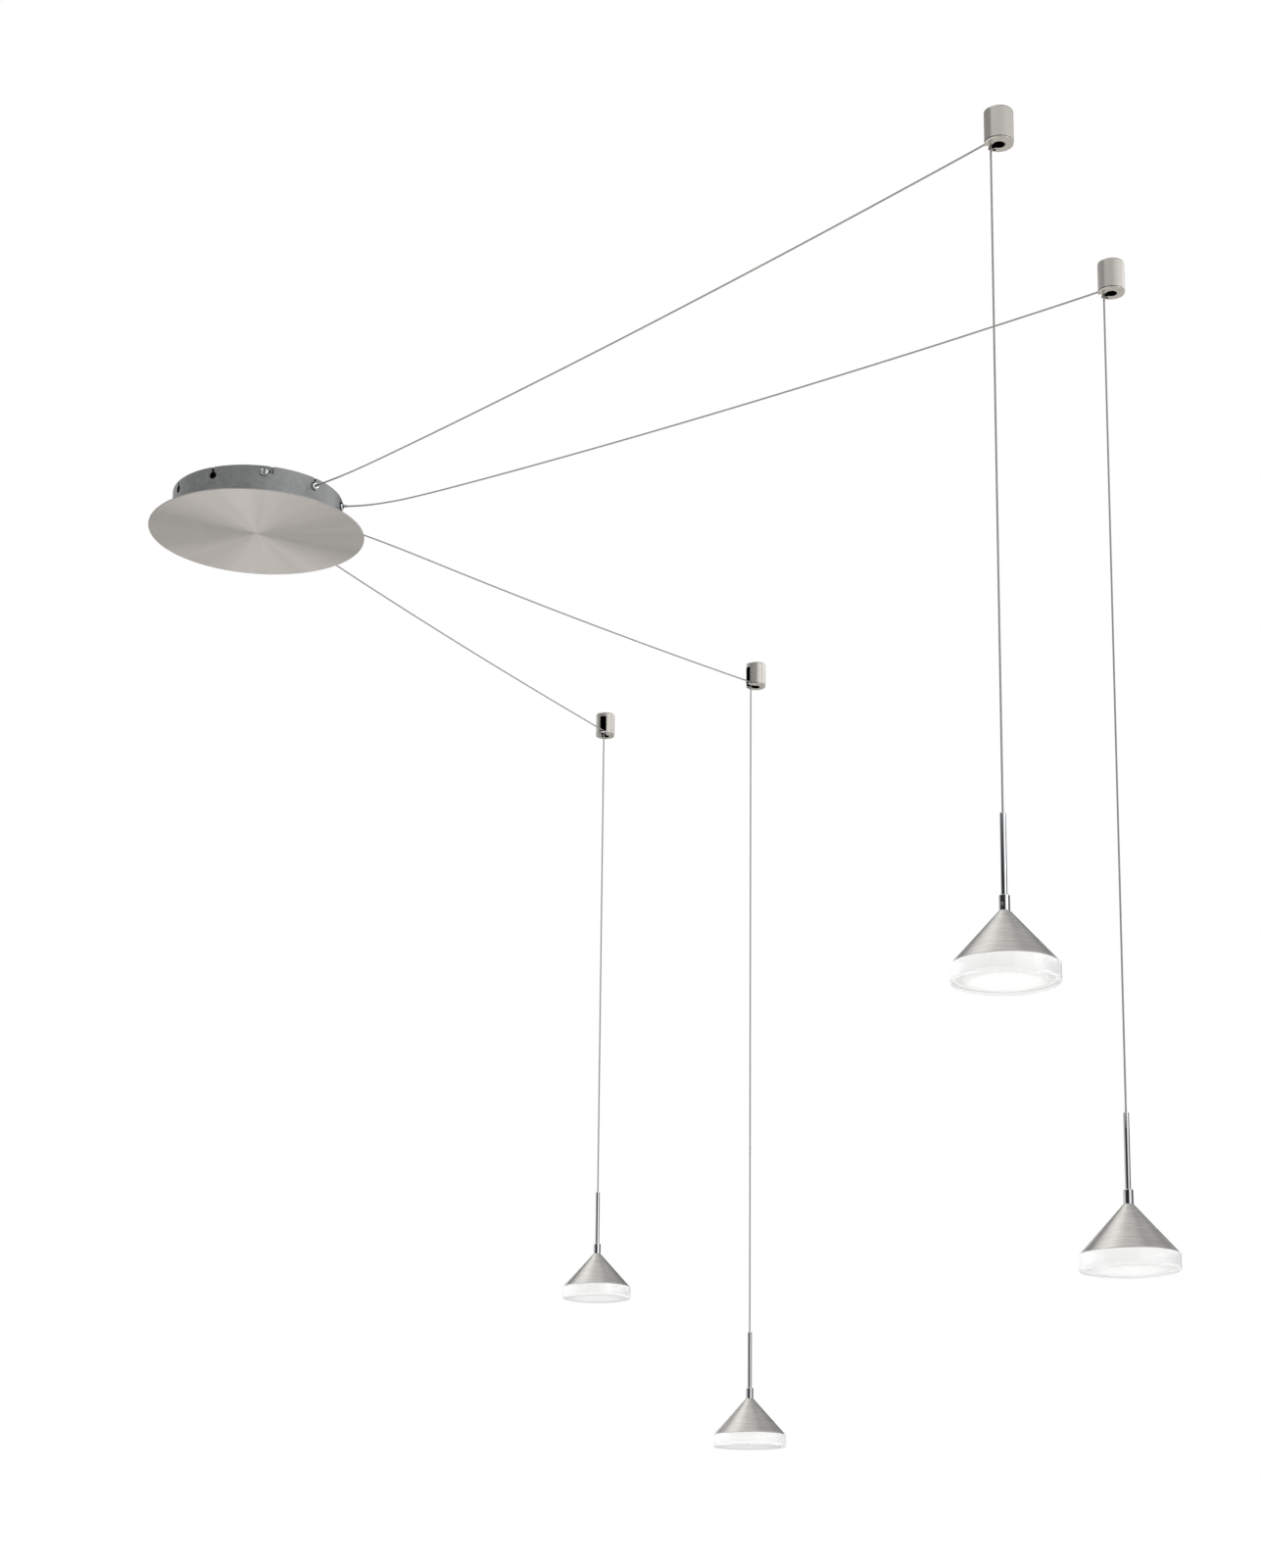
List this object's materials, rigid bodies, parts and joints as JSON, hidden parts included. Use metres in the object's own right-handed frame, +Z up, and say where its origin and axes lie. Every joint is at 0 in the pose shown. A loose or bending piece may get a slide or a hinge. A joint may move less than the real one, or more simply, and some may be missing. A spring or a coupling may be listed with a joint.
{
  "type": "pendant light",
  "caption": "Ceiling-hung light: a round canopy, cables led along the ceiling through clips, and small conical heads with lit acrylic lenses at different heights.",
  "frame": {"origin": "centre of the canopy, on the ceiling plane", "axes": "+Z up into the ceiling, +X to the right and +Y away from the viewer in the picture"},
  "size_m": [1.2978, 1.9617, 1.251],
  "materials": {
    "bracket_steel": "zinc plated pressed sheet",
    "drum_steel": "fine-grained grey galvanised sheet",
    "plate_nickel": "satin nickel, brushed round its centre",
    "chrome": "polished chrome plate",
    "driver_plastic": "moulded, light texture",
    "block_plastic": "moulded polyamide",
    "cable": "clear jacket over silver braid",
    "clip_nickel": "satin nickel, turned",
    "cone_aluminium": "turned, fine rings round the cone",
    "lens_acrylic": "polished clear cast acrylic",
    "diffuser_opal": "opal sheet, lit from behind",
    "board": "white solder mask on aluminium",
    "screw_steel": "zinc plated",
    "black_steel": "black oxide"
  },
  "bodies": {
    "ceiling_fixture": {"ceiling_bracket": "bracket_steel", "canopy_drum": "drum_steel", "cover_plate": "plate_nickel", "plate_fixings": "screw_steel", "side_screws": "chrome", "cable_glands": "chrome", "gland_nuts": "chrome", "led_driver": "driver_plastic", "terminal_block": "block_plastic", "bracket_screws": "screw_steel", "clip_cup_a": "clip_nickel", "clip_cap_a": "clip_nickel", "ceiling_cable_a": "cable", "clip_cup_b": "clip_nickel", "clip_cap_b": "clip_nickel", "ceiling_cable_b": "cable", "clip_cup_c": "clip_nickel", "clip_cap_c": "clip_nickel", "ceiling_cable_c": "cable", "clip_cup_d": "clip_nickel", "clip_cap_d": "clip_nickel", "ceiling_cable_d": "cable", "clip_pins": "chrome", "clip_grub_screws": "black_steel"},
    "drop_a": {"drop_cable_a": "cable"},
    "head_a": {"lens_a": "lens_acrylic", "diffuser_a": "diffuser_opal", "led_board_a": "board", "shade_cone_a": "cone_aluminium", "stem_tube_a": "chrome", "stem_lead_a": "cable", "stem_collar_a": "chrome", "head_screws_a": "screw_steel"},
    "drop_b": {"drop_cable_b": "cable"},
    "head_b": {"lens_b": "lens_acrylic", "diffuser_b": "diffuser_opal", "led_board_b": "board", "shade_cone_b": "cone_aluminium", "stem_tube_b": "chrome", "stem_lead_b": "cable", "stem_collar_b": "chrome", "head_screws_b": "screw_steel"},
    "drop_c": {"drop_cable_c": "cable"},
    "head_c": {"lens_c": "lens_acrylic", "diffuser_c": "diffuser_opal", "led_board_c": "board", "shade_cone_c": "cone_aluminium", "stem_tube_c": "chrome", "stem_lead_c": "cable", "stem_collar_c": "chrome", "head_screws_c": "screw_steel"},
    "drop_d": {"drop_cable_d": "cable"},
    "head_d": {"lens_d": "lens_acrylic", "diffuser_d": "diffuser_opal", "led_board_d": "board", "shade_cone_d": "cone_aluminium", "stem_tube_d": "chrome", "stem_lead_d": "cable", "stem_collar_d": "chrome", "head_screws_d": "screw_steel"}
  },
  "joints": [
    {"name": "swing_a", "type": "hinge", "parent": "ceiling_fixture", "child": "drop_a", "pos_m": [0.94069, -0.9812, -0.0342], "axis": [-0.5, -0.866, 0], "range_deg": [-12, 12]},
    {"name": "tilt_a", "type": "hinge", "parent": "drop_a", "child": "head_a", "pos_m": [0.94069, -0.9812, -0.7658], "axis": [-0.866, 0.5, 0], "range_deg": [-15, 15]},
    {"name": "swing_b", "type": "hinge", "parent": "ceiling_fixture", "child": "drop_b", "pos_m": [1.09577, -0.65906, -0.0342], "axis": [-0.515, -0.8572, 0], "range_deg": [-12, 12]},
    {"name": "tilt_b", "type": "hinge", "parent": "drop_b", "child": "head_b", "pos_m": [1.09577, -0.65906, -1.0028], "axis": [-0.8572, 0.515, 0], "range_deg": [-15, 15]},
    {"name": "swing_c", "type": "hinge", "parent": "ceiling_fixture", "child": "drop_c", "pos_m": [0.67804, 0.63663, -0.0342], "axis": [0.5592, -0.829, 0], "range_deg": [-12, 12]},
    {"name": "tilt_c", "type": "hinge", "parent": "drop_c", "child": "head_c", "pos_m": [0.67804, 0.63663, -1.0768], "axis": [-0.829, -0.5592, 0], "range_deg": [-15, 15]},
    {"name": "swing_d", "type": "hinge", "parent": "ceiling_fixture", "child": "drop_d", "pos_m": [0.42933, 0.87055, -0.0342], "axis": [0.9848, -0.1736, 0], "range_deg": [-12, 12]},
    {"name": "tilt_d", "type": "hinge", "parent": "drop_d", "child": "head_d", "pos_m": [0.42933, 0.87055, -0.8188], "axis": [-0.1736, -0.9848, 0], "range_deg": [-15, 15]}
  ]
}
